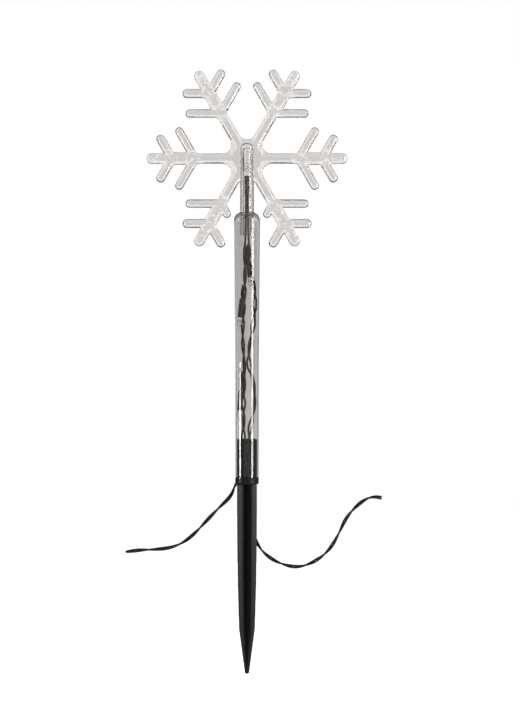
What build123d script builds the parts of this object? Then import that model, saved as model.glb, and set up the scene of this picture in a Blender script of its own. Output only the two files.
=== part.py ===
from build123d import *
import os
from math import cos, hypot, pi, radians, sin, tan

# A garden path light: a clear snowflake on a clear tube, pushed onto a black ground spike.
# Millimetres. +Z is up along the stake's axis, +X to the right and +Y to the back, and the
# origin is on the axis at the underside of the spike's collar, which is the ground line.

# Ground spike: a collar, a hollow spigot above it and a blade of two crossed fins below it.
collar_proud = 0.12
collar_h = 6.5
collar_chamfer = 0.5
spigot_r = 10.4
spigot_h = 38.7
spigot_wall = 1.8
spigot_floor = 2.0
spigot_lead_in = 0.6
blade_length = 189.5
blade_waist = 60.0
shoulder_above_tip = 44.5
blade_inset = 0.1
blade_r_waist = 11.0
blade_r_shoulder = 8.85
blade_r_tip = 2.0
fin_thickness = 2.0
fin_turn = 31.0

# Tube: closed by a dome with a hole for the neck, open at the bottom.
tube_length = 265.5
tube_wall = 1.2
tube_straight = 110.0
tube_flare = 1.3
dome_shoulder_r = 8.5
dome_thickness = 2.4
spigot_fit = 0.08

# Snowflake head: a plate with six arms, and a neck with a blind bore for the top light.
neck_r = 6.9
neck_depth = 23.3
neck_fit = 0.05
hub_above_tube = 53.4
plate_thickness = 6.4
plate_round = 1.6
hub_round = 9.0
arm_length = 100.5
stem_width = 10.3
stem_mid_width = 12.6
stem_tip_width = 10.7
inner_node_r = 52.0
outer_node_r = 75.0
inner_branch_length = 35.5
inner_branch_width = 8.4
outer_branch_length = 27.0
outer_branch_width = 9.0
stub_length = 16.0
boss_above_hub = 14.0
light_bore_gap = 0.75
light_bore_above_hub = 10.6
ejector_mark_r = 2.4
ejector_mark_depth = 0.3
ejector_mark_at = 65.0

# Lights: an epoxy lens on two legs, in a black sleeve that is shrunk onto the wires and seals them.
lens_r = 2.4
lens_length = 8.6
lens_dome_r = 2.3
lens_rim_proud = 0.25
lens_rim_h = 1.0
leg_side = 0.5
leg_pitch = 2.54
leg_in_sleeve = 7.0
top_light_bare_leg = 4.4
sleeve_proud = 0.1
sleeve_lap = 0.45
light_gap = 0.05
sleeve_length = 19.0
top_light_below_hub = 4.4

# Wires: 2 mm wires, always twisted in pairs, and four together in the neck.
wire_d = 2.0
pair_d = 2 * wire_d
bundle_d = 2.4 * wire_d
tap_d = 1.8 * wire_d
core_d = 0.8
core_proud = 0.4
wire_gap = 0.4
joint_z = 9.5
lead_start_r = 4.33
neck_entry_gap = 2.7
arc_share = 0.45
foot_run = 11.8

collar_top = collar_h
spigot_top = collar_top + spigot_h
spigot_bore_r = spigot_r - spigot_wall
tube_bore_r = spigot_r + spigot_fit
tube_r = tube_bore_r + tube_wall
tube_top_r = tube_r + tube_flare
collar_r = tube_r + collar_proud
blade_r_top = collar_r - collar_chamfer - blade_inset
tube_top = collar_top + tube_length
taper_z = collar_top + tube_straight
hub_z = tube_top + hub_above_tube
neck_end = tube_top - neck_depth
lens_rim_r = lens_r + lens_rim_proud
sleeve_r = bundle_d / 2 + sleeve_proud
sleeve_bore_r = bundle_d / 2 - sleeve_lap
light_bore_r = lens_rim_r + light_bore_gap
left_exit = fin_turn + 135
right_exit = fin_turn + 45
branch_angle = 60
stub_angles = (240, 300)
mark_angles = (120, 300)

os.makedirs("parts", exist_ok=True)


def finish(piece, name):
    """Label a finished piece and write its own STEP file."""
    piece.part.label = name
    export_step(piece.part, f"parts/{name}.step")
    return piece.part


def fillet_radii(points):
    """Radius for each corner of a route, so that its arc takes this share of the shorter run."""
    radii = []
    for before, corner, after in zip(points, points[1:], points[2:]):
        run_in, run_out = Vector(corner) - Vector(before), Vector(after) - Vector(corner)
        turn = radians(run_in.get_angle(run_out))
        radii.append(arc_share * min(run_in.length, run_out.length) / tan(turn / 2))
    return radii


def cord_tube(points, diameter, name):
    """A plain tube along a route of straight runs joined by tangent arcs."""
    radii = fillet_radii(points)
    start = Plane(origin=points[0], z_dir=Vector(points[1]) - Vector(points[0]))
    with BuildPart() as cord:
        with BuildLine() as route:
            FilletPolyline(*points, radius=radii)
        with BuildSketch(start):
            Circle(diameter / 2)
        sweep(path=route.wire())
    length = route.wire().length
    share = cord.part.volume / (length * pi * diameter**2 / 4)
    rounded = [round(r, 1) for r in radii]
    print(f"{name}: {length:.1f} mm long, volume {share:.4f} of section by length, radii {rounded}")
    return cord


def around(angle, radius, z):
    """A point at a plan angle and a radius from the stake's axis."""
    return (radius * cos(radians(angle)), radius * sin(radians(angle)), z)


# ---------------------------------------------------------------- ground spike
fin_side = [
    (blade_r_top, 0),
    (blade_r_waist, -blade_waist),
    (blade_r_shoulder, shoulder_above_tip - blade_length),
    (blade_r_tip, -blade_length),
]
slot_inner_r = lead_start_r
slot_reach = collar_r + 1.0
slot_top = joint_z

with BuildPart() as ground_spike:
    with BuildSketch(Plane.XZ):
        with BuildLine():
            Polyline(
                (0, 0),
                (collar_r - collar_chamfer, 0),
                (collar_r, collar_chamfer),
                (collar_r, collar_top),
                (spigot_r, collar_top),
                (spigot_r, spigot_top - spigot_lead_in),
                (spigot_r - spigot_lead_in, spigot_top),
                (spigot_bore_r, spigot_top),
                (spigot_bore_r, spigot_floor),
                (0, spigot_floor),
                close=True,
            )
        make_face()
    revolve(axis=Axis.Z)
    for turn in (fin_turn, fin_turn + 90):
        across = Vector(cos(radians(turn)), sin(radians(turn)), 0)
        with BuildSketch(Plane((0, 0, 0), x_dir=across, z_dir=across.cross(Vector(0, 0, 1)))):
            with BuildLine():
                for side in (1, -1):
                    top, waist, shoulder, tip = [(side * r, z) for r, z in fin_side]
                    ThreePointArc(top, waist, shoulder)
                    Line(shoulder, tip)
                Line((-blade_r_top, 0), (blade_r_top, 0))
                Line((-blade_r_tip, -blade_length), (blade_r_tip, -blade_length))
            make_face()
        extrude(amount=fin_thickness / 2, both=True)
    for exit_angle in (left_exit, right_exit):
        outward = Vector(*around(exit_angle, 1, 0))
        with BuildSketch(Plane((0, 0, -collar_chamfer), x_dir=outward, z_dir=(0, 0, 1))):
            with Locations(((slot_inner_r + slot_reach) / 2, 0)):
                Rectangle(slot_reach - slot_inner_r, pair_d + 2 * wire_gap)
        extrude(amount=slot_top + collar_chamfer, mode=Mode.SUBTRACT)
finish(ground_spike, "ground_spike")


# ------------------------------------------------------------------------ tube
def bell_outline(bottom_z, bottom_r, top_r, top_z, shoulder_r):
    """Half the outline of a tapered bell, closed down the axis."""
    shoulder_z = top_z - shoulder_r
    with BuildLine() as outline:
        Polyline((0, top_z), (0, bottom_z), (bottom_r, bottom_z), (bottom_r, taper_z), (top_r, shoulder_z))
        CenterArc((top_r - shoulder_r, shoulder_z), shoulder_r, 0, 90)
        Line((top_r - shoulder_r, top_z), (0, top_z))
    make_face(outline.edges())


with BuildPart() as tube:
    with BuildSketch(Plane.XZ):
        bell_outline(collar_top, tube_r, tube_top_r, tube_top, dome_shoulder_r)
    revolve(axis=Axis.Z)
    with BuildSketch(Plane.XZ):
        bell_outline(
            collar_top,
            tube_bore_r,
            tube_top_r - tube_wall,
            tube_top - dome_thickness,
            dome_shoulder_r - tube_wall,
        )
    revolve(axis=Axis.Z, mode=Mode.SUBTRACT)
    with BuildSketch(Plane.XY.offset(tube_top)):
        Circle(neck_r + neck_fit)
    extrude(amount=-2 * dome_thickness, mode=Mode.SUBTRACT)
finish(tube, "tube")


# -------------------------------------------------------------- snowflake head
def bar(start_r, angle, reach, width):
    """A bar that starts on its arm, at an angle to it, and whose half-round end reaches that far."""
    centres = reach - width / 2
    with Locations(Location((start_r, 0, 0), (0, 0, angle))):
        with Locations((centres / 2, 0)):
            SlotCenterToCenter(centres, width)


def arm(inner_lengths):
    """One arm along +X: a stem that is thicker between its two pairs of branches."""
    bar(0, 0, outer_node_r, stem_width)
    mid_start_r = inner_node_r + inner_branch_width / 2
    bar(mid_start_r, 0, outer_node_r + stem_mid_width / 2 - mid_start_r, stem_mid_width)
    bar(outer_node_r, 0, arm_length - outer_node_r, stem_tip_width)
    for side, inner_length in zip((1, -1), inner_lengths):
        bar(inner_node_r, side * branch_angle, inner_length, inner_branch_width)
        bar(outer_node_r, side * branch_angle, outer_branch_length, outer_branch_width)


def from_hub(vertex):
    """How far a point of the plate's outline, in its own plane, is from the hub."""
    return hypot(vertex.X, vertex.Y - hub_z)


hub = Vector(0, 0, hub_z)
boss_top = hub_z + boss_above_hub
boss_round = neck_r - light_bore_r

with BuildPart() as snowflake_head:
    with BuildSketch(Plane.XZ.offset(-plate_thickness / 2)) as plate:
        for angle in range(0, 360, 60):
            inner_lengths = [
                stub_length if (angle + side * branch_angle) % 360 in stub_angles and angle > 180
                else inner_branch_length
                for side in (1, -1)
            ]
            with Locations(Location((0, hub_z, 0), (0, 0, angle))):
                arm(inner_lengths)
        fillet([v for v in plate.vertices() if from_hub(v) < 2 * stem_width], hub_round)
    extrude(amount=plate_thickness)
    fillet(
        snowflake_head.faces().sort_by(Axis.Y)[0].edges() + snowflake_head.faces().sort_by(Axis.Y)[-1].edges(),
        plate_round,
    )
    with BuildSketch(Plane.XZ):
        with BuildLine():
            Polyline((0, boss_top), (0, neck_end), (neck_r, neck_end), (neck_r, boss_top - boss_round))
            CenterArc((neck_r - boss_round, boss_top - boss_round), boss_round, 0, 90)
            Line((neck_r - boss_round, boss_top), (0, boss_top))
        make_face()
    revolve(axis=Axis.Z)
    with BuildSketch(Plane.XY.offset(neck_end)):
        Circle(light_bore_r)
    extrude(amount=hub_z + light_bore_above_hub - neck_end, mode=Mode.SUBTRACT)
    for angle in mark_angles:
        mark = Vector(cos(radians(angle)), 0, sin(radians(angle))) * ejector_mark_at + hub
        with BuildSketch(Plane(mark - Vector(0, plate_thickness / 2, 0), z_dir=(0, -1, 0))):
            Circle(ejector_mark_r)
        extrude(amount=-ejector_mark_depth, mode=Mode.SUBTRACT)
finish(snowflake_head, "snowflake_head")


# ------------------------------------------------------------ lights and wires
def inside(x_share, y_share, height_share, room_r=tube_bore_r - pair_d / 2):
    """A place inside the tube, in shares of the room across it and of the height below the neck."""
    return Vector(
        x_share * room_r,
        y_share * room_r,
        joint_z + height_share * (neck_end - neck_entry_gap - joint_z),
    )


def light(number, tip, tail, bare_leg):
    """One light, from the tip of its lens to the tail of its sleeve, as three pieces."""
    heading = (tip - tail).normalized()
    lens_base = Plane(tip - heading * lens_length, z_dir=heading)
    with BuildPart() as lens:
        with BuildSketch(lens_base):
            Circle(lens_rim_r)
        extrude(amount=lens_rim_h)
        with BuildSketch(lens_base):
            Circle(lens_r)
        extrude(amount=lens_length)
        fillet(lens.edges().filter_by(GeomType.CIRCLE).sort_by(Axis(lens_base.origin, heading))[-1], lens_dome_r)
    with BuildPart() as legs:
        with BuildSketch(lens_base):
            with GridLocations(leg_pitch, 0, 2, 1):
                Rectangle(leg_side, leg_side)
        extrude(amount=-(bare_leg + leg_in_sleeve))
    with BuildPart() as sleeve:
        with BuildSketch(lens_base.offset(-bare_leg)):
            Circle(sleeve_r)
            Circle(sleeve_bore_r, mode=Mode.SUBTRACT)
        extrude(amount=-sleeve_length)
    finish(lens, f"light_{number}_lens")
    finish(legs, f"light_{number}_legs")
    finish(sleeve, f"light_{number}_sleeve")
    return lens_base.origin - heading * (bare_leg + sleeve_length)


top_tip = Vector(0, 0, hub_z - top_light_below_hub)
top_tail = light(1, top_tip, top_tip - Vector(0, 0, 1), top_light_bare_leg)
light_room_r = tube_bore_r - lens_r - light_gap
tails = {}
for number, tip_shares, tail_shares in (
    (2, (0.517, 0.480, 0.797), (0.100, 0.650, 0.912)),
    (3, (-0.971, -0.232, 0.628), (-0.634, -0.201, 0.738)),
    (4, (-0.950, -0.169, 0.236), (-0.803, -0.158, 0.353)),
):
    tails[number] = light(number, inside(*tip_shares, light_room_r), inside(*tail_shares, light_room_r), 0)

# The string in the tube. Its left pair climbs from the left lead, its right pair from the right
# one, and both end under the four-wire bundle in the neck. A short pair taps off to each light.
left_route = [
    around(left_exit, lead_start_r, joint_z),
    around(left_exit, lead_start_r, joint_z + foot_run),
    inside(-0.47, 0.18, 0.15),
    inside(-0.36, 0.31, 0.24),
    inside(-0.44, 0.31, 0.315),
    inside(-0.28, 0.26, 0.40),
    inside(-0.33, 0.25, 0.48),
    inside(-0.53, 0.27, 0.565),
    inside(-0.50, 0.33, 0.64),
    inside(-0.30, 0.36, 0.73),
    inside(-0.24, 0.28, 0.82),
    inside(-0.26, 0.14, 0.91),
    inside(-0.244, 0.0, 0.965),
    inside(-0.244, 0.0, 1.0),
]
right_route = [
    around(right_exit, lead_start_r, joint_z),
    around(right_exit, lead_start_r, joint_z + foot_run),
    inside(0.16, 0.36, 0.12),
    inside(0.30, -0.02, 0.19),
    inside(0.75, -0.26, 0.255),
    inside(0.93, -0.22, 0.33),
    inside(0.72, -0.20, 0.40),
    inside(0.20, -0.24, 0.455),
    inside(0.20, -0.27, 0.53),
    inside(0.58, -0.28, 0.60),
    inside(0.93, -0.24, 0.68),
    inside(0.96, -0.19, 0.76),
    inside(0.68, -0.26, 0.83),
    inside(0.28, -0.30, 0.885),
    inside(0.244, 0.0, 0.95),
    inside(0.244, 0.0, 1.0),
]
for name, route in (("wires_left", left_route), ("wires_right", right_route)):
    finish(cord_tube(route, pair_d, name), name)
with BuildPart() as wires_neck:
    with BuildSketch(Plane.XY.offset(neck_end - neck_entry_gap)):
        Circle(bundle_d / 2)
    extrude(amount=top_tail.Z - neck_end + neck_entry_gap)
finish(wires_neck, "wires_neck")

taps = {
    2: [tails[2], inside(0.08, 0.47, 0.945), inside(0.20, 0.20, 0.975)],
    3: [tails[3], inside(-0.55, -0.15, 0.77), inside(-0.36, 0.10, 0.80)],
    4: [tails[4], inside(-0.70, -0.12, 0.41), inside(-0.52, 0.06, 0.435)],
}
for number, points in taps.items():
    finish(cord_tube(points, tap_d, f"light_{number}_wires"), f"light_{number}_wires")

# The two leads leave the spigot through the slots in the collar and run off to both sides.
left_lead = [
    around(left_exit, lead_start_r, joint_z),
    around(left_exit, lead_start_r, joint_z - 3.7),
    around(left_exit, collar_r - 2.4, joint_z - 6.5),
    around(left_exit, collar_r + 1.3, -3.0),
    (-15.0, 3.0, -10.0),
    (-19.8, 2.4, -16.2),
    (-28.5, 1.6, -24.2),
    (-41.0, 0.4, -37.4),
    (-52.4, -0.6, -49.6),
    (-63.5, -1.4, -58.6),
    (-77.0, -1.8, -63.9),
    (-92.5, -1.4, -65.4),
    (-107.5, -0.8, -65.9),
    (-121.3, -0.4, -67.8),
]
right_lead = [
    around(right_exit, lead_start_r, joint_z),
    around(right_exit, lead_start_r, joint_z - 3.4),
    around(right_exit, collar_r - 2.2, joint_z - 6.8),
    around(right_exit, collar_r + 0.5, -4.5),
    (3.1, 13.0, -16.0),
    (2.8, 13.4, -31.0),
    (4.2, 13.8, -45.5),
    (8.8, 13.9, -58.5),
    (17.2, 13.2, -70.6),
    (31.5, 11.6, -80.0),
    (50.5, 9.4, -84.6),
    (67.6, 7.4, -78.6),
    (82.0, 5.6, -67.2),
    (91.2, 4.2, -51.6),
    (99.2, 2.8, -33.4),
    (112.2, 1.6, -19.2),
    (125.5, 0.8, -11.6),
    (134.6, 0.4, -13.9),
]
for name, route in (("lead_left", left_lead), ("lead_right", right_lead)):
    finish(cord_tube(route, pair_d, name), name)
    end, before = Vector(route[-1]), Vector(route[-2])
    with BuildPart() as cores:
        with BuildSketch(Plane(end, z_dir=end - before)):
            with GridLocations(wire_d, 0, 2, 1):
                Circle(core_d / 2)
        extrude(amount=core_proud)
    finish(cores, f"{name}_cores")
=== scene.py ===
from math import atan2, cos, pi, radians, sin, tau

import bmesh
import bpy
import numpy as np
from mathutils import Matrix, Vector, noise


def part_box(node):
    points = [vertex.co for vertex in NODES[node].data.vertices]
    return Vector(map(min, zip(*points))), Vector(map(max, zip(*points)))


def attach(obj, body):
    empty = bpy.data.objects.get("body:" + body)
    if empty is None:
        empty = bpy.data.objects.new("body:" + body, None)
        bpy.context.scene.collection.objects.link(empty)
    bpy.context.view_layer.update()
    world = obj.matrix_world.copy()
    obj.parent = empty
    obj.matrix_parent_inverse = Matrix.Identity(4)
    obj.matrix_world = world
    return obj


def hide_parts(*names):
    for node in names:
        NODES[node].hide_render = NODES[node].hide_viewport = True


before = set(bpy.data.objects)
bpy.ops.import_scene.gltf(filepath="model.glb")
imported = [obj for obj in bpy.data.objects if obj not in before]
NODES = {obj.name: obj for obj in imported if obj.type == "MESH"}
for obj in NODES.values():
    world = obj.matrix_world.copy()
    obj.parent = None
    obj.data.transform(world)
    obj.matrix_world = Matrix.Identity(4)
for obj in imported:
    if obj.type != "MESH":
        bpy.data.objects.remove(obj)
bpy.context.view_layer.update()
MM = 0.001

# Places that the CAD model sets, read back from its nodes.
TOP_ABOVE_HUB = 89.0 * MM
HUB_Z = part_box("snowflake_head")[1].z - TOP_ABOVE_HUB
TUBE_FOOT_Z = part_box("tube")[0].z
NECK_FOOT_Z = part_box("wires_neck")[0].z
JOINT_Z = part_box("wires_left")[0].z
SPIKE_TIP_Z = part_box("ground_spike")[0].z
COLLAR_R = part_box("ground_spike")[1].x
SLEEVE_TAIL_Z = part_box("light_1_sleeve")[0].z
LENS_TIP_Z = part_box("light_1_lens")[1].z

# Sizes that the CAD model sets and no node's box shows; the lights' own sizes are in millimetres.
TUBE_BORE_R = 10.48 * MM
NECK_R = 6.9 * MM
PAIR_R = 2.0 * MM
WIRE_R = 0.98 * MM
LENS_LENGTH = 8.6
SLEEVE_LENGTH = 19.0
LEG_OFFSET = 1.27


# ------------------------------------------------------------------ small helpers
def link(piece):
    """Put a new piece into the scene."""
    bpy.context.scene.collection.objects.link(piece)
    return piece


def piece_from(name, bm):
    """A mesh piece from a finished bmesh."""
    mesh = bpy.data.meshes.new(name)
    bm.to_mesh(mesh)
    bm.free()
    return link(bpy.data.objects.new(name, mesh))


def dress(piece, material):
    """Give a piece one material."""
    piece.data.materials.clear()
    piece.data.materials.append(material)


def around(angle, radius, z):
    """A point at a plan angle in degrees and a radius from the stake's axis."""
    return Vector((radius * cos(radians(angle)), radius * sin(radians(angle)), z))


# ----------------------------------------------------------------------- camera
VIEW_DISTANCE = 3.0
VIEW_HEIGHT = 0.719
VIEW_CENTRE = Vector((0.0130, 0.0, 0.1245))


def set_camera():
    """A long lens, level with the middle of the stake and square to the snowflake."""
    data = bpy.data.cameras.new("front_camera")
    camera = link(bpy.data.objects.new("front_camera", data))
    camera.location = VIEW_CENTRE - Vector((0, VIEW_DISTANCE, 0))
    camera.rotation_euler = (pi / 2, 0, 0)
    data.lens = data.sensor_width * VIEW_DISTANCE / VIEW_HEIGHT
    bpy.context.scene.camera = camera


set_camera()


# ---------------------------------------------------------------- wires and leads
LINE_FINENESS = 16
WIRE_SIDES = 14
LAY_UNEVENNESS, LAY_WANDER = 0.4, 26
GAPE_WANDER, GAPE_BASE, GAPE_SWING = 60, 0.25, 1.6
WIRE_CLEARANCE = 1.01


def smooth_line(name, points):
    """The NURBS line that has these points as its control points, as a curve with no thickness."""
    curve = bpy.data.curves.new(name, "CURVE")
    curve.dimensions = "3D"
    curve.resolution_u = LINE_FINENESS
    spline = curve.splines.new("NURBS")
    spline.points.add(len(points) - 1)
    for point, place in zip(spline.points, points):
        point.co = (*place, 1)
    spline.order_u = 3
    spline.use_endpoint_u = True
    return curve


def points_along(name, points):
    """Points read along the smooth line of a route."""
    guide = link(bpy.data.objects.new(name + "_guide", smooth_line(name + "_guide", points)))
    bpy.context.view_layer.update()
    mesh = bpy.data.meshes.new_from_object(guide)
    line = [v.co.copy() for v in mesh.vertices]
    curve = guide.data
    bpy.data.objects.remove(guide)
    bpy.data.curves.remove(curve)
    bpy.data.meshes.remove(mesh)
    return line


def evenly(line, step):
    """The same line with its points a fixed step apart."""
    runs = [0.0]
    for a, b in zip(line, line[1:]):
        runs.append(runs[-1] + (b - a).length)
    count = max(2, round(runs[-1] / step))
    found, k = [], 0
    for i in range(count + 1):
        at = runs[-1] * i / count
        while k < len(runs) - 2 and runs[k + 1] < at:
            k += 1
        share = (at - runs[k]) / max(runs[k + 1] - runs[k], 1e-9)
        found.append(line[k].lerp(line[k + 1], min(1.0, share)))
    return found


def frames_along(line):
    """A side and an up direction at each point that turn with the line and never twist."""
    ahead = (line[1] - line[0]).normalized()
    side = ahead.orthogonal().normalized()
    found = []
    for i in range(len(line)):
        before, after = line[max(i - 1, 0)], line[min(i + 1, len(line) - 1)]
        heading = (after - before).normalized()
        side = (side - heading * side.dot(heading)).normalized()
        found.append((side.copy(), heading.cross(side)))
    return found


def wire_tube(bm, centres, radius, sides=WIRE_SIDES):
    """One round wire with flat cut ends, along its centres."""
    rings = []
    for centre, (side, up) in zip(centres, frames_along(centres)):
        turns = [tau * k / sides for k in range(sides)]
        rings.append([
            bm.verts.new(centre + side * (radius * cos(turn)) + up * (radius * sin(turn)))
            for turn in turns
        ])
    for low, high in zip(rings, rings[1:]):
        for k in range(sides):
            face = bm.faces.new((low[k], low[(k + 1) % sides], high[(k + 1) % sides], high[k]))
            face.smooth = True
    bm.faces.new(list(reversed(rings[0])))
    bm.faces.new(rings[-1])


def twisted(
    name, line, lay_length, cross_at, straight_above=None, seed=0.0, slack=0.0, room_r=None
):
    """Two wires twisted round each other along a line, with a lay that is a little uneven.

    Near cross_at they pass one behind the other. Above straight_above they run side by side.
    Slack lets them gape in places, by up to that share of their thickness, within room_r of the axis.
    """
    step = (line[1] - line[0]).length
    frames = frames_along(line)
    turns, turn = [], 0.0
    for i, centre in enumerate(line):
        turns.append(turn)
        if straight_above is None or centre.z < straight_above:
            wander = noise.noise(Vector((i * step * LAY_WANDER, seed, 0.3)))
            turn += tau * step / lay_length * (1 + LAY_UNEVENNESS * wander)
    crossing = min(range(len(line)), key=lambda i: (line[i] - cross_at).length)
    side, up = frames[crossing]
    shift = atan2(up.y, side.y) - turns[crossing]
    strands = [[], []]
    for i, (centre, (side, up), turn) in enumerate(zip(line, frames, turns)):
        straight = straight_above is not None and centre.z >= straight_above
        wander = noise.noise(Vector((i * step * GAPE_WANDER, seed, 5.1)))
        gape = 0 if straight else slack * max(0, GAPE_BASE + GAPE_SWING * wander)
        for strand, half in zip(strands, (0, pi)):
            a = turn + shift + half
            spread = WIRE_CLEARANCE + min(gape, slack)
            place = centre + (side * cos(a) + up * sin(a)) * WIRE_R * spread
            reach = Vector((place.x, place.y)).length
            if room_r and reach > room_r:
                place.x, place.y = place.x * room_r / reach, place.y * room_r / reach
            strand.append(place)
    bm = bmesh.new()
    for strand in strands:
        wire_tube(bm, strand, WIRE_R)
    return piece_from(name, bm), strands


def inside(x_share, y_share, height_share, room_r=TUBE_BORE_R - PAIR_R):
    """A place inside the tube, in shares of the room across it and of the height below the neck."""
    height = JOINT_Z + height_share * (NECK_FOOT_Z - JOINT_Z)
    return Vector((x_share * room_r, y_share * room_r, height))


LEFT_EXIT, RIGHT_EXIT = 166, 76
LEAD_START_R = 4.33 * MM
FOOT_RUN = 11.8 * MM
LIGHT_ROOM_R = TUBE_BORE_R - 2.45 * MM

# The middle lines of the string's pairs, from inside the spigot up to the neck.
left_route = [
    around(LEFT_EXIT, LEAD_START_R, JOINT_Z),
    around(LEFT_EXIT, LEAD_START_R, JOINT_Z + FOOT_RUN),
    inside(-0.47, 0.18, 0.15),
    inside(-0.36, 0.31, 0.24),
    inside(-0.44, 0.31, 0.315),
    inside(-0.28, 0.26, 0.40),
    inside(-0.33, 0.25, 0.48),
    inside(-0.53, 0.27, 0.565),
    inside(-0.50, 0.33, 0.64),
    inside(-0.30, 0.36, 0.73),
    inside(-0.24, 0.28, 0.82),
    inside(-0.26, 0.14, 0.91),
    inside(-0.244, 0.0, 0.965),
    inside(-0.244, 0.0, 1.0),
]
right_route = [
    around(RIGHT_EXIT, LEAD_START_R, JOINT_Z),
    around(RIGHT_EXIT, LEAD_START_R, JOINT_Z + FOOT_RUN),
    inside(0.16, 0.36, 0.12),
    inside(0.30, -0.02, 0.19),
    inside(0.75, -0.26, 0.255),
    inside(0.93, -0.22, 0.33),
    inside(0.72, -0.20, 0.40),
    inside(0.20, -0.24, 0.455),
    inside(0.20, -0.27, 0.53),
    inside(0.58, -0.28, 0.60),
    inside(0.93, -0.24, 0.68),
    inside(0.96, -0.19, 0.76),
    inside(0.68, -0.26, 0.83),
    inside(0.28, -0.30, 0.885),
    inside(0.244, 0.0, 0.95),
    inside(0.244, 0.0, 1.0),
]

# Each light by its tip and a place above it on its middle line.
LIGHTS = {
    1: (Vector((0, 0, LENS_TIP_Z)), Vector((0, 0, SLEEVE_TAIL_Z))),
    2: (inside(0.517, 0.480, 0.797, LIGHT_ROOM_R), inside(0.100, 0.650, 0.912, LIGHT_ROOM_R)),
    3: (inside(-0.971, -0.232, 0.628, LIGHT_ROOM_R), inside(-0.634, -0.201, 0.738, LIGHT_ROOM_R)),
    4: (inside(-0.950, -0.169, 0.236, LIGHT_ROOM_R), inside(-0.803, -0.158, 0.353, LIGHT_ROOM_R)),
}

# Where each light's own pair goes after its sleeve, up to the string.
tap_ends = {
    2: [inside(0.08, 0.47, 0.945), inside(0.20, 0.20, 0.975)],
    3: [inside(-0.55, -0.15, 0.77), inside(-0.36, 0.10, 0.80)],
    4: [inside(-0.70, -0.12, 0.41), inside(-0.52, 0.06, 0.435)],
}

# The middle lines of the free leads, from inside the spike to their cut ends.
left_lead = [
    around(LEFT_EXIT, LEAD_START_R, JOINT_Z),
    around(LEFT_EXIT, LEAD_START_R, JOINT_Z - 3.7 * MM),
    around(LEFT_EXIT, COLLAR_R - 2.4 * MM, JOINT_Z - 6.5 * MM),
    around(LEFT_EXIT, COLLAR_R + 1.3 * MM, -3.0 * MM),
    (-0.0150, 0.0030, -0.0100),
    (-0.0198, 0.0024, -0.0162),
    (-0.0285, 0.0016, -0.0242),
    (-0.0410, 0.0004, -0.0374),
    (-0.0524, -0.0006, -0.0496),
    (-0.0635, -0.0014, -0.0586),
    (-0.0770, -0.0018, -0.0639),
    (-0.0925, -0.0014, -0.0654),
    (-0.1075, -0.0008, -0.0659),
    (-0.1213, -0.0004, -0.0678),
]
right_lead = [
    around(RIGHT_EXIT, LEAD_START_R, JOINT_Z),
    around(RIGHT_EXIT, LEAD_START_R, JOINT_Z - 3.4 * MM),
    around(RIGHT_EXIT, COLLAR_R - 2.2 * MM, JOINT_Z - 6.8 * MM),
    around(RIGHT_EXIT, COLLAR_R + 0.5 * MM, -4.5 * MM),
    (0.0031, 0.0130, -0.0160),
    (0.0028, 0.0134, -0.0310),
    (0.0042, 0.0138, -0.0455),
    (0.0088, 0.0139, -0.0585),
    (0.0172, 0.0132, -0.0706),
    (0.0315, 0.0116, -0.0800),
    (0.0505, 0.0094, -0.0846),
    (0.0676, 0.0074, -0.0786),
    (0.0820, 0.0056, -0.0672),
    (0.0912, 0.0042, -0.0516),
    (0.0992, 0.0028, -0.0334),
    (0.1122, 0.0016, -0.0192),
    (0.1255, 0.0008, -0.0116),
    (0.1346, 0.0004, -0.0139),
]


# --------------------------------------------------------------------- materials
def new_group(name, inputs, outputs):
    """A shader node group with its named number inputs and outputs."""
    group = bpy.data.node_groups.new(name, "ShaderNodeTree")
    for label, default in inputs.items():
        made = group.interface.new_socket(label, in_out="INPUT", socket_type="NodeSocketFloat")
        made.default_value = default
    for label in outputs:
        group.interface.new_socket(label, in_out="OUTPUT", socket_type="NodeSocketFloat")
    return group


class Wiring:
    """Adds nodes to a tree and links them by socket name."""

    def __init__(self, tree):
        self.tree = tree

    def add(self, kind, **settings):
        node = self.tree.nodes.new("ShaderNode" + kind)
        for key, value in settings.items():
            setattr(node, key, value)
        return node

    def join(self, source, out, target, into):
        self.tree.links.new(source.outputs[out], target.inputs[into])

    def maths(self, operation, first, second):
        """A math node; each side is a number or a (node, socket) pair."""
        node = self.add("Math", operation=operation)
        for index, value in enumerate((first, second)):
            if isinstance(value, tuple):
                self.join(value[0], value[1], node, index)
            else:
                node.inputs[index].default_value = value
        return node

    def noise(self, scale, detail=2.0, roughness=0.5, stretch=(1, 1, 1)):
        """Noise in object space, in features per metre."""
        where = self.add("TexCoord")
        scaled = self.add("Mapping")
        scaled.inputs["Scale"].default_value = stretch
        self.join(where, "Object", scaled, "Vector")
        cloud = self.add("TexNoise")
        self.join(scaled, "Vector", cloud, "Vector")
        cloud.inputs["Scale"].default_value = scale
        cloud.inputs["Detail"].default_value = detail
        cloud.inputs["Roughness"].default_value = roughness
        return cloud

    def ramp(self, source, out, low, high, value_low, value_high):
        """Turn a value between low and high into one between value_low and value_high."""
        node = self.add("MapRange")
        self.join(source, out, node, "Value")
        ends = {"From Min": low, "From Max": high, "To Min": value_low, "To Max": value_high}
        for key, value in ends.items():
            node.inputs[key].default_value = value
        return node


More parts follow.
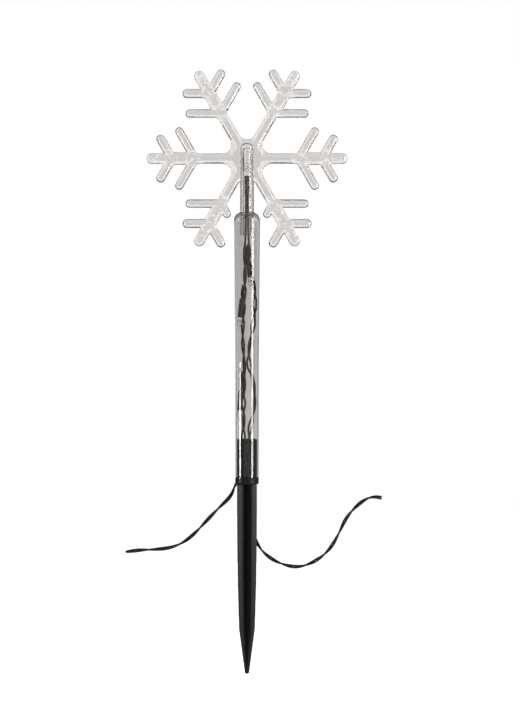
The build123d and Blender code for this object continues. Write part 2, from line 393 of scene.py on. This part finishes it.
def make_moulded_grain():
    """Spark texture, flow marks and scuffs of moulded plastic: a height, a gloss shift and a mask."""
    group = new_group(
        "moulded_grain",
        {"Grain": 1.0, "Flow": 1.0, "Scuffs": 1.0},
        ("Height", "Gloss shift", "Scuff mask"),
    )
    w = Wiring(group)
    into = group.nodes.new("NodeGroupInput")
    out = group.nodes.new("NodeGroupOutput")
    fine = w.noise(scale=2600, detail=3, roughness=0.6)
    flow = w.noise(scale=60, detail=2, roughness=0.5, stretch=(1, 1, 0.22))
    scratch = w.noise(scale=900, detail=2, roughness=0.7, stretch=(1, 1, 0.05))
    fine_height = w.maths("MULTIPLY", (fine, "Fac"), (into, "Grain"))
    flow_height = w.maths("MULTIPLY", (flow, "Fac"), (into, "Flow"))
    height = w.maths("MULTIPLY_ADD", (flow_height, 0), 3.0)
    w.join(fine_height, 0, height, 2)
    marks = w.ramp(scratch, "Fac", 0.60, 0.72, 0.0, 1.0)
    clouds = w.noise(scale=34, detail=3, roughness=0.6)
    patches = w.ramp(clouds, "Fac", 0.45, 0.62, 0.0, 1.0)
    scuff = w.maths("MULTIPLY", (marks, 0), (patches, 0))
    scuff = w.maths("MULTIPLY", (scuff, 0), (into, "Scuffs"))
    shift = w.maths("MULTIPLY_ADD", (scuff, 0), 0.25)
    w.join(w.ramp(flow, "Fac", 0.3, 0.7, -0.04, 0.05), 0, shift, 2)
    w.join(height, 0, out, "Height")
    w.join(shift, 0, out, "Gloss shift")
    w.join(scuff, 0, out, "Scuff mask")
    return group


def make_edge_wear():
    """A mask that is 1 on rubbed, convex edges and fades into the faces."""
    group = new_group("edge_wear", {"Amount": 1.0}, ("Mask",))
    w = Wiring(group)
    into = group.nodes.new("NodeGroupInput")
    out = group.nodes.new("NodeGroupOutput")
    shape = w.add("NewGeometry")
    edge = w.ramp(shape, "Pointiness", 0.505, 0.56, 0.0, 1.0)
    chips = w.noise(scale=420, detail=4, roughness=0.65)
    broken = w.ramp(chips, "Fac", 0.38, 0.62, 0.2, 1.0)
    worn = w.maths("MULTIPLY", (edge, 0), (broken, 0))
    worn = w.maths("MULTIPLY", (worn, 0), (into, "Amount"))
    w.join(worn, 0, out, "Mask")
    return group


def make_ice_pebble():
    """Lumpy ice-like relief of clear moulded plastic: a height and a haze that follows the lumps."""
    group = new_group("ice_pebble", {"Lumps": 1.0, "Waves": 1.0}, ("Height", "Haze"))
    w = Wiring(group)
    into = group.nodes.new("NodeGroupInput")
    out = group.nodes.new("NodeGroupOutput")
    lumps = w.noise(scale=310, detail=2, roughness=0.55)
    waves = w.noise(scale=90, detail=1.5, roughness=0.5)
    lump_height = w.maths("MULTIPLY", (lumps, "Fac"), (into, "Lumps"))
    wave_height = w.maths("MULTIPLY", (waves, "Fac"), (into, "Waves"))
    height = w.maths("ADD", (lump_height, 0), (wave_height, 0))
    w.join(height, 0, out, "Height")
    w.join(w.ramp(lumps, "Fac", 0.35, 0.7, 0.0, 1.0), 0, out, "Haze")
    return group


moulded_grain = make_moulded_grain()
edge_wear = make_edge_wear()
ice_pebble = make_ice_pebble()


def start_material(name, **plain):
    """A material with one Principled shader, whose constants are set on its own sockets."""
    material = bpy.data.materials.new(name)
    material.use_nodes = True
    shader = material.node_tree.nodes["Principled BSDF"]
    for label, value in plain.items():
        shader.inputs[label.replace("_", " ")].default_value = value
    return material, shader, Wiring(material.node_tree)


def place_group(w, group, **values):
    """Put a shader group into a material with its own values."""
    node = w.add("Group", node_tree=group)
    for label, value in values.items():
        node.inputs[label].default_value = value
    return node


def bump(w, shader, node, out, strength, distance):
    """Feed a height into the shader's normal."""
    relief = w.add("Bump")
    relief.inputs["Strength"].default_value = strength
    relief.inputs["Distance"].default_value = distance
    w.join(node, out, relief, "Height")
    w.join(relief, "Normal", shader, "Normal")


def shadow_passes(material, w, shader, tint):
    """Let light through a clear piece for shadows, tinted by the plastic; its surface stays glass."""
    out = material.node_tree.nodes["Material Output"]
    path = w.add("LightPath")
    clear = w.add("BsdfTransparent")
    clear.inputs["Color"].default_value = (*tint, 1)
    mix = w.add("MixShader")
    w.join(path, "Is Shadow Ray", mix, 0)
    w.join(shader, 0, mix, 1)
    w.join(clear, 0, mix, 2)
    w.join(mix, 0, out, "Surface")


def colour_between(w, mask, out, first, second):
    """A colour that goes from the first to the second with a mask."""
    mix = w.add("Mix", data_type="RGBA")
    mix.inputs[6].default_value = (*first, 1)
    mix.inputs[7].default_value = (*second, 1)
    w.join(mask, out, mix, 0)
    return mix


HAZE_SHADE = 0.97


def clear_plastic(name, tint, rough, lumps, waves, distance, haze):
    """Clear moulded plastic with a lumpy or wavy surface and a little haze."""
    material, shader, w = start_material(name, Metallic=0.0, Transmission_Weight=1.0, IOR=1.49)
    relief = place_group(w, ice_pebble, Lumps=lumps, Waves=waves)
    bump(w, shader, relief, "Height", strength=1.0, distance=distance)
    w.join(w.ramp(relief, "Haze", 0.0, 1.0, rough, rough + haze), 0, shader, "Roughness")
    greyer = tuple(c * HAZE_SHADE for c in tint)
    w.join(colour_between(w, relief, "Haze", tint, greyer), 2, shader, "Base Color")
    shadow_passes(material, w, shader, tint)
    return material


def black_moulding(name, colour, worn, rough, grain, scuffs, shine):
    """Black moulded plastic with spark texture, flow marks, scuffs and rubbed edges."""
    material, shader, w = start_material(name, IOR=1.5, Specular_IOR_Level=shine)
    texture = place_group(w, moulded_grain, Grain=grain, Scuffs=scuffs)
    wear = place_group(w, edge_wear, Amount=scuffs)
    bump(w, shader, texture, "Height", strength=0.6, distance=0.00006)
    mask = w.maths("MAXIMUM", (texture, "Scuff mask"), (wear, "Mask"))
    w.join(colour_between(w, mask, 0, colour, worn), 2, shader, "Base Color")
    gloss = w.maths("ADD", (texture, "Gloss shift"), rough)
    w.join(gloss, 0, shader, "Roughness")
    return material


def metal(name, colour, dull, rough):
    """Drawn metal with faint lengthwise streaks and dull spots."""
    material, shader, w = start_material(name, Metallic=1.0)
    streak = w.noise(scale=1800, detail=3, roughness=0.6, stretch=(1, 1, 0.05))
    tarnish = w.noise(scale=700, detail=2, roughness=0.6)
    spots = w.ramp(tarnish, "Fac", 0.5, 0.7, 0.0, 1.0)
    w.join(colour_between(w, spots, 0, colour, dull), 2, shader, "Base Color")
    w.join(w.ramp(streak, "Fac", 0.3, 0.7, rough, rough + 0.18), 0, shader, "Roughness")
    bump(w, shader, streak, "Fac", strength=0.3, distance=0.00002)
    return material


ice_clear = clear_plastic(
    "ice_clear_plastic", tint=(0.955, 0.92, 0.893),
    rough=0.03, lumps=0.15, waves=0.9, distance=0.0009, haze=0.05,
)
tube_clear = clear_plastic(
    "tube_clear_plastic", tint=(0.83, 0.808, 0.79),
    rough=0.012, lumps=0.03, waves=0.15, distance=0.0002, haze=0.006,
)
epoxy_clear = clear_plastic(
    "light_clear_epoxy", tint=(0.97, 0.97, 0.96),
    rough=0.01, lumps=0.02, waves=0.1, distance=0.0001, haze=0.01,
)
spike_black = black_moulding(
    "spike_black_plastic", colour=(0.0095, 0.009, 0.0088), worn=(0.05, 0.05, 0.05),
    rough=0.27, grain=0.35, scuffs=0.5, shine=0.075,
)
sleeve_black = black_moulding(
    "sleeve_black_plastic", colour=(0.011, 0.010, 0.010), worn=(0.03, 0.03, 0.03),
    rough=0.45, grain=0.8, scuffs=0.3, shine=0.4,
)
sheath_black = black_moulding(
    "wire_sheath_plastic", colour=(0.010, 0.008, 0.007), worn=(0.04, 0.036, 0.032),
    rough=0.36, grain=0.6, scuffs=0.4, shine=0.25,
)
leg_metal = metal("tinned_leg_metal", (0.66, 0.65, 0.62), (0.45, 0.44, 0.42), rough=0.28)
copper_metal = metal("bare_copper", (0.80, 0.42, 0.25), (0.50, 0.26, 0.15), rough=0.30)


# ------------------------------------------------------------------ leads and string
LEAD_STEP, STRING_STEP, TAP_STEP = 0.0012, 0.0010, 0.0007
CORE_R, CORE_SIDES, CORE_TUCK, CORE_PROUD = 0.0004, 10, 0.0002, 0.00035
STRING_FOOT = 2.6 * MM
STRING_SLACK = 0.9
STRING_CLEARANCE = 0.15 * MM
STRAIGHT_BELOW_NECK = 6 * MM
TAP_LAY = 0.034
STRING_CROSSING = (0, 0, 0.300)

# The string in the neck: how far to its side and to the back, and how far above the neck's foot
# or above the tail of the top light's sleeve.
NECK_WAY = ((1.25, 0, 7), (1.05, 0.2, 22))
SLEEVE_WAY = ((0.98, 0, -6), (0.95, 0, 0.5))


def lead(node, route, lay_length, cross_at, seed):
    """A free lead of two twisted wires, with the copper ends of its cores."""
    line = evenly(points_along(node, route), LEAD_STEP)
    piece, strands = twisted(node + "_twisted", line, lay_length, Vector(cross_at), seed=seed)
    dress(piece, sheath_black)
    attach(piece, "spike")
    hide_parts(node)
    bm = bmesh.new()
    for strand in strands:
        heading = (strand[-1] - strand[-2]).normalized()
        cut = strand[-1]
        run = [cut - heading * CORE_TUCK, cut, cut + heading * CORE_PROUD]
        wire_tube(bm, run, CORE_R, CORE_SIDES)
    cores = piece_from(node + "_copper", bm)
    dress(cores, copper_metal)
    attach(cores, "spike")
    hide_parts(node + "_cores")


lead("lead_left", left_lead, 0.052, (-0.0473, 0, -0.0434), 1.7)
lead("lead_right", right_lead, 0.046, (0.0589, 0.0085, -0.0820), 4.1)


def string_pair(name, route, side, nodes, lay_length, seed):
    """One pair of the string, from inside the spigot up through the neck to the top light."""
    foot = route[0] - Vector((0, 0, STRING_FOOT))
    neck = [
        Vector((side * across * MM, side * back * MM, low + up * MM))
        for low, way in ((NECK_FOOT_Z, NECK_WAY), (SLEEVE_TAIL_Z, SLEEVE_WAY))
        for across, back, up in way
    ]
    line = evenly(points_along(name, [foot, *route[:-1], *neck]), STRING_STEP)
    piece, _ = twisted(
        name, line, lay_length, Vector(STRING_CROSSING), NECK_FOOT_Z - STRAIGHT_BELOW_NECK, seed,
        slack=STRING_SLACK, room_r=TUBE_BORE_R - WIRE_R - STRING_CLEARANCE,
    )
    dress(piece, sheath_black)
    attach(piece, "lamp")
    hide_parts(*nodes)


string_pair("string_left_pair", left_route, -1, ["wires_left", "wires_neck"], 0.038, 2.3)
string_pair("string_right_pair", right_route, 1, ["wires_right"], 0.036, 6.6)


def tap(number):
    """The short pair that joins a light's sleeve to the string."""
    name = f"light_{number}_tap"
    tip, above = LIGHTS[number]
    heading = (tip - above).normalized()
    tail = tip - heading * (LENS_LENGTH + SLEEVE_LENGTH) * MM
    line = evenly(points_along(name, [tail, *tap_ends[number]]), TAP_STEP)
    piece, _ = twisted(name, line, TAP_LAY, line[0], seed=number)
    dress(piece, sheath_black)
    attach(piece, "lamp")
    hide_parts(f"light_{number}_wires")


for number in tap_ends:
    tap(number)


# -------------------------------------------------------------------- the lights
# The frame's two posts, each in two lengths, in millimetres: offset, width at the foot and at the
# top, and from and to what height.
FRAME_THICK, FRAME_EDGE, SHARP_EDGE = 0.5, 0.05, 1.2
FRAME_POSTS = (
    (-LEG_OFFSET, 0.5, 0.5, 0.02, 2.4),
    (-0.95, 1.1, 0.7, 2.4, 4.2),
    (LEG_OFFSET, 0.5, 0.5, 0.02, 2.4),
    (0.85, 1.5, 2.1, 2.4, 4.4),
)
# The cup round the chip, in millimetres: the height and radius of each ring.
CUP_RINGS = ((4.4, 0.45), (5.1, 0.95), (5.1, 0.80), (4.6, 0.40))
CUP_OFFSET, CUP_SIDES = 0.35, 20


def light_frame(number, places):
    """The metal frame inside a light: a post and a wider post with a cup, on which the chip sits."""
    tip, above = places
    heading = (tip - above).normalized()
    side = Vector((1, 0, 0)) - heading * heading.x
    side.normalize()
    depth = heading.cross(side)
    base = tip - heading * LENS_LENGTH * MM
    bm = bmesh.new()

    for across, width_low, width_high, low, high in FRAME_POSTS:
        corners = []
        for level, width in ((low, width_low), (high, width_high)):
            for sx, sy in ((-1, -1), (1, -1), (1, 1), (-1, 1)):
                place = side * (across + sx * width / 2) + depth * (sy * FRAME_THICK / 2)
                corners.append(bm.verts.new(base + (place + heading * level) * MM))
        for k in range(4):
            bm.faces.new((corners[k], corners[(k + 1) % 4], corners[4 + (k + 1) % 4], corners[4 + k]))
        bm.faces.new(corners[3::-1])
        bm.faces.new(corners[4:])
    rings = []
    for level, radius in CUP_RINGS:
        ring = []
        for k in range(CUP_SIDES):
            turn = tau * k / CUP_SIDES
            place = side * (CUP_OFFSET + radius * cos(turn)) + depth * (radius * sin(turn))
            ring.append(bm.verts.new(base + (place + heading * level) * MM))
        rings.append(ring)
    for low, high in zip(rings, rings[1:]):
        for k in range(CUP_SIDES):
            after = (k + 1) % CUP_SIDES
            bm.faces.new((low[k], low[after], high[after], high[k]))
    bm.faces.new(rings[0][::-1])
    bm.faces.new(rings[-1])
    sharp = [e for e in bm.edges if e.is_manifold and e.calc_face_angle(0) > SHARP_EDGE]
    bmesh.ops.bevel(bm, geom=sharp, offset=FRAME_EDGE * MM, segments=1, affect="EDGES")
    piece = piece_from(f"light_{number}_frame", bm)
    dress(piece, leg_metal)
    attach(piece, "lamp")


for number, places in LIGHTS.items():
    light_frame(number, places)
    dress(NODES[f"light_{number}_lens"], epoxy_clear)
    dress(NODES[f"light_{number}_legs"], leg_metal)
    dress(NODES[f"light_{number}_sleeve"], sleeve_black)


# ------------------------------------------------------- snowflake, tube and spike
# Along each stem of the snowflake, in millimetres from the hub.
INNER_NODE, OUTER_NODE, STEM_END = 52, 75, 95
INNER_BRANCH, OUTER_BRANCH, STUB = 31.3, 22.5, 11.8
STEM_HALF, MID_HALF, TIP_HALF = 5.15, 6.3, 5.35
INNER_HALF, OUTER_HALF = 4.2, 4.5

# The relief of the snowflake's faces: depths are shares of its thickness, BAND_ values are shares
# of a bar's half width, and LUMP_ scales are lumps per metre.
CROWN_DEPTH, BAND_DEPTH = 0.12, 0.17
BAND_FROM, BAND_TO = 0.52, 0.64
LUMP_DEPTH = 0.26
LUMP_SCALE, FINE_LUMP_SCALE, FINE_LUMP_SHARE = 190, 430, 0.35
LUMP_BASE, LUMP_FLOOR, LUMP_CEILING = 0.55, -0.55, 1.0
PLAIN_LUMP_SHARE = 0.12
JOINT_BAND_LOSS, JOINT_CORE = 0.7, 0.45
# The lumpy joints: how far out each is and how far it spreads, in millimetres.
LUMPY_JOINTS = ((52, 11), (75, 12), (88, 9))

SNOWFLAKE_SKIN, SNOWFLAKE_PASSES = 0.50 * MM, 6
SPIKE_SKIN, SPIKE_PASSES = 0.40 * MM, 3
SPIGOT_EASE = 0.98
SPIGOT_EASE_FROM = TUBE_FOOT_Z + 0.3 * MM


def flake_lines():
    """The middle lines of the snowflake's bars, from the hub, each with half its bar's width."""
    lines = []
    for angle in range(0, 360, 60):
        stem = Vector((cos(radians(angle)), sin(radians(angle))))
        inner, outer = stem * INNER_NODE * MM, stem * OUTER_NODE * MM
        lines += [
            (Vector((0, 0)), inner, STEM_HALF * MM),
            (inner, outer, MID_HALF * MM),
            (outer, stem * STEM_END * MM, TIP_HALF * MM),
        ]
        for side in (60, -60):
            way = Vector((cos(radians(angle + side)), sin(radians(angle + side))))
            stub = angle > 180 and (angle + side) % 360 in (240, 300)
            inner_run = way * (STUB if stub else INNER_BRANCH) * MM
            lines.append((inner, inner + inner_run, INNER_HALF * MM))
            lines.append((outer, outer + way * OUTER_BRANCH * MM, OUTER_HALF * MM))
    return lines


def share_across(points, lines):
    """How far out plan points are across the bars they lie in: 0 on a middle line, 1 at an edge."""
    nearest = np.full(len(points), np.inf)
    for start, end, half_width in lines:
        run = np.array(end - start)
        along = np.clip(((points - np.array(start)) @ run) / (run @ run), 0, 1)
        away = np.linalg.norm(points - np.array(start) - along[:, None] * run, axis=1)
        nearest = np.minimum(nearest, away / half_width)
    return nearest


def smooth_step(values, low, high):
    """0 below low, 1 above high and a soft step between."""
    t = np.clip((values - low) / (high - low), 0, 1)
    return t * t * (3 - 2 * t)


def reskin(name, node, voxel, passes):
    """A copy of a CAD node with an even, fine skin and softened edges, as a mould leaves them."""
    piece = link(bpy.data.objects.new(name, NODES[node].data.copy()))
    remesh = piece.modifiers.new("even_skin", "REMESH")
    remesh.mode = "VOXEL"
    remesh.voxel_size = voxel
    ease = piece.modifiers.new("ease", "SMOOTH")
    ease.factor, ease.iterations = 0.5, passes
    skinned = piece.evaluated_get(bpy.context.evaluated_depsgraph_get())
    made = bpy.data.meshes.new_from_object(skinned)
    piece.modifiers.clear()
    piece.data = made
    made.name = name
    made.materials.clear()
    made.shade_smooth()
    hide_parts(node)
    return piece


def soften_spike():
    """The ground spike with softly moulded edges, and a spigot that clears the tube's wall."""
    piece = reskin("moulded_spike", "ground_spike", SPIKE_SKIN, SPIKE_PASSES)
    for vertex in piece.data.vertices:
        if vertex.co.z > SPIGOT_EASE_FROM:
            vertex.co.x *= SPIGOT_EASE
            vertex.co.y *= SPIGOT_EASE
    piece.data.update()
    dress(piece, spike_black)
    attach(piece, "spike")


def soften_head():
    """The snowflake as it is moulded: soft crooks, a raised band along each bar and lumpy joints."""
    piece = reskin("snowflake", "snowflake_head", SNOWFLAKE_SKIN, SNOWFLAKE_PASSES)
    made = piece.data
    places = np.empty(3 * len(made.vertices))
    made.vertices.foreach_get("co", places)
    places = places.reshape(-1, 3)
    plan = places[:, (0, 2)] - np.array((0, HUB_Z))
    from_hub = np.linalg.norm(plan, axis=1)
    out = share_across(plan, flake_lines())
    fine_shift = Vector((7, 3, 1))
    lumps = np.array([
        noise.noise(Vector(place) * LUMP_SCALE)
        + FINE_LUMP_SHARE * noise.noise(Vector(place) * FINE_LUMP_SCALE + fine_shift)
        for place in places
    ])
    joints = np.zeros(len(places))
    for angle in range(0, 360, 60):
        stem = np.array((cos(radians(angle)), sin(radians(angle))))
        for reach, spread in LUMPY_JOINTS:
            away = np.linalg.norm(plan - stem * reach * MM, axis=1)
            joints = np.maximum(joints, 1 - smooth_step(away, JOINT_CORE * spread * MM, spread * MM))
    crown = 1 - CROWN_DEPTH * np.clip(out, 0, 1) ** 2
    step = crown - BAND_DEPTH * smooth_step(out, BAND_FROM, BAND_TO) * (1 - joints * JOINT_BAND_LOSS)
    lumpy = PLAIN_LUMP_SHARE + (1 - PLAIN_LUMP_SHARE) * joints
    relief = 1 - LUMP_DEPTH * lumpy * (LUMP_BASE + np.clip(lumps, LUMP_FLOOR, LUMP_CEILING))
    above_neck = smooth_step(plan[:, 1], -1 * MM, 1 * MM)
    beside_neck = smooth_step(np.abs(plan[:, 0]), NECK_R, NECK_R + 2.1 * MM)
    off_hub = smooth_step(from_hub, 13 * MM, 19 * MM)
    places[:, 1] *= 1 + (step * relief - 1) * off_hub * np.maximum(above_neck, beside_neck)
    made.vertices.foreach_set("co", places.ravel())
    made.update()
    dress(piece, ice_clear)
    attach(piece, "head")


soften_head()
soften_spike()
dress(NODES["tube"], tube_clear)


# --------------------------------------------------------- floor, light and backdrop
FLOOR_HALF, FLOOR_GAP = 3.0, 0.4 * MM
FLOOR_GLOW = 0.8
STRIP_DISTANCE, AIM_CEILING = 1.5, 0.2
PANEL_SCALE, PANEL_LOW, PANEL_HIGH = 9.0, 0.80, 1.14
# How bright the room is to a clear piece, by how nearly a view goes straight to the back or front.
BACKDROP = (
    (0.0, 0.22), (0.70, 0.24), (0.82, 0.48), (0.93, 1.0), (0.965, 0.97), (0.988, 0.76), (1.0, 0.74),
)


def white_floor():
    """A plain pale floor just under the tip of the spike; to clear pieces it glows, with painted
    shade near the stake.
    """
    bm = bmesh.new()
    bm.faces.new([
        bm.verts.new((x * FLOOR_HALF, y * FLOOR_HALF, SPIKE_TIP_Z - FLOOR_GAP))
        for x, y in ((-1, -1), (1, -1), (1, 1), (-1, 1))
    ])
    floor = piece_from("floor", bm)
    material, shader, w = start_material("pale_floor", Roughness=0.9)
    speckle = w.noise(scale=3, detail=2, roughness=0.5)
    pale = colour_between(w, speckle, "Fac", (0.90, 0.90, 0.90), (0.92, 0.92, 0.92))
    w.join(pale, 2, shader, "Base Color")
    w.join(pale, 2, shader, "Emission Color")
    path = w.add("LightPath")
    glow = w.maths("MULTIPLY", (path, "Is Camera Ray"), FLOOR_GLOW)
    w.join(glow, 0, shader, "Emission Strength")
    # Clear pieces see a glowing floor, with painted shade near the stake and pale far off.
    reach = w.add("VectorMath", operation="LENGTH")
    w.join(w.add("NewGeometry"), "Position", reach, 0)
    through = w.add("Emission")
    w.join(w.ramp(reach, "Value", 0.35, 0.75, 0.06, 0.70), 0, through, "Strength")
    mix = w.add("MixShader")
    w.join(path, "Is Transmission Ray", mix, 0)
    w.join(shader, 0, mix, 1)
    w.join(through, 0, mix, 2)
    w.join(mix, 0, material.node_tree.nodes["Material Output"], "Surface")
    floor.data.materials.append(material)


def strip_light(name, azimuth, width, height, centre_z, power):
    """A tall soft box that faces the stake from a plan angle, 0 being the camera's side."""
    data = bpy.data.lights.new(name, "AREA")
    data.shape = "RECTANGLE"
    data.size, data.size_y = width, height
    data.energy = power
    lamp = link(bpy.data.objects.new(name, data))
    a = radians(azimuth)
    lamp.location = (STRIP_DISTANCE * sin(a), -STRIP_DISTANCE * cos(a), centre_z)
    aim = Vector((0, 0, min(centre_z, AIM_CEILING))) - lamp.location
    lamp.rotation_euler = aim.to_track_quat("-Z", "Y").to_euler()
    lamp.visible_camera = False
    lamp.visible_transmission = False


def studio_room(mirrored, spread):
    """White straight to the camera; a panelled backdrop in a dark room to clear and glossy pieces."""
    world = bpy.data.worlds.new("studio")
    bpy.context.scene.world = world
    world.use_nodes = True
    w = Wiring(world.node_tree)
    background = world.node_tree.nodes["Background"]
    path = w.add("LightPath")
    heading = w.add("SeparateXYZ")
    facing = w.add("TexCoord")
    w.join(facing, "Generated", heading, 0)
    panels = w.add("TexNoise")
    w.join(facing, "Generated", panels, "Vector")
    panels.inputs["Scale"].default_value = PANEL_SCALE
    panels.inputs["Detail"].default_value = 1.0
    uneven = w.ramp(panels, "Fac", 0.3, 0.7, PANEL_LOW, PANEL_HIGH)
    depth = w.maths("ABSOLUTE", (heading, "Y"), 0)
    backdrop = w.add("ValToRGB")
    w.join(depth, 0, backdrop, "Fac")
    stops = backdrop.color_ramp.elements
    for place, level in BACKDROP[2:]:
        stops.new(place)
    for stop, (place, level) in zip(stops, BACKDROP):
        stop.position, stop.color = place, (level, level, level, 1)
    clear = w.add("Mix", data_type="RGBA", blend_type="MULTIPLY")
    clear.inputs[0].default_value = 1.0
    w.join(backdrop, "Color", clear, 6)
    w.join(uneven, 0, clear, 7)
    glossy = colour_between(w, path, "Is Glossy Ray", (spread,) * 3, (mirrored,) * 3)
    seen = w.add("Mix", data_type="RGBA")
    w.join(path, "Is Transmission Ray", seen, 0)
    w.join(glossy, 2, seen, 6)
    w.join(clear, 2, seen, 7)
    final = w.add("Mix", data_type="RGBA")
    final.inputs[7].default_value = (1, 1, 1, 1)
    w.join(path, "Is Camera Ray", final, 0)
    w.join(seen, 2, final, 6)
    w.join(final, 2, background, "Color")


white_floor()
studio_room(mirrored=0.05, spread=0.42)
strip_light("left_strip", azimuth=-72, width=0.46, height=0.73, centre_z=-0.26, power=22)
strip_light("right_strip", azimuth=54, width=0.52, height=1.4, centre_z=0.15, power=36)
strip_light("top_box", azimuth=15, width=0.9, height=0.5, centre_z=1.5, power=3)
bpy.context.scene.view_settings.view_transform = "Standard"
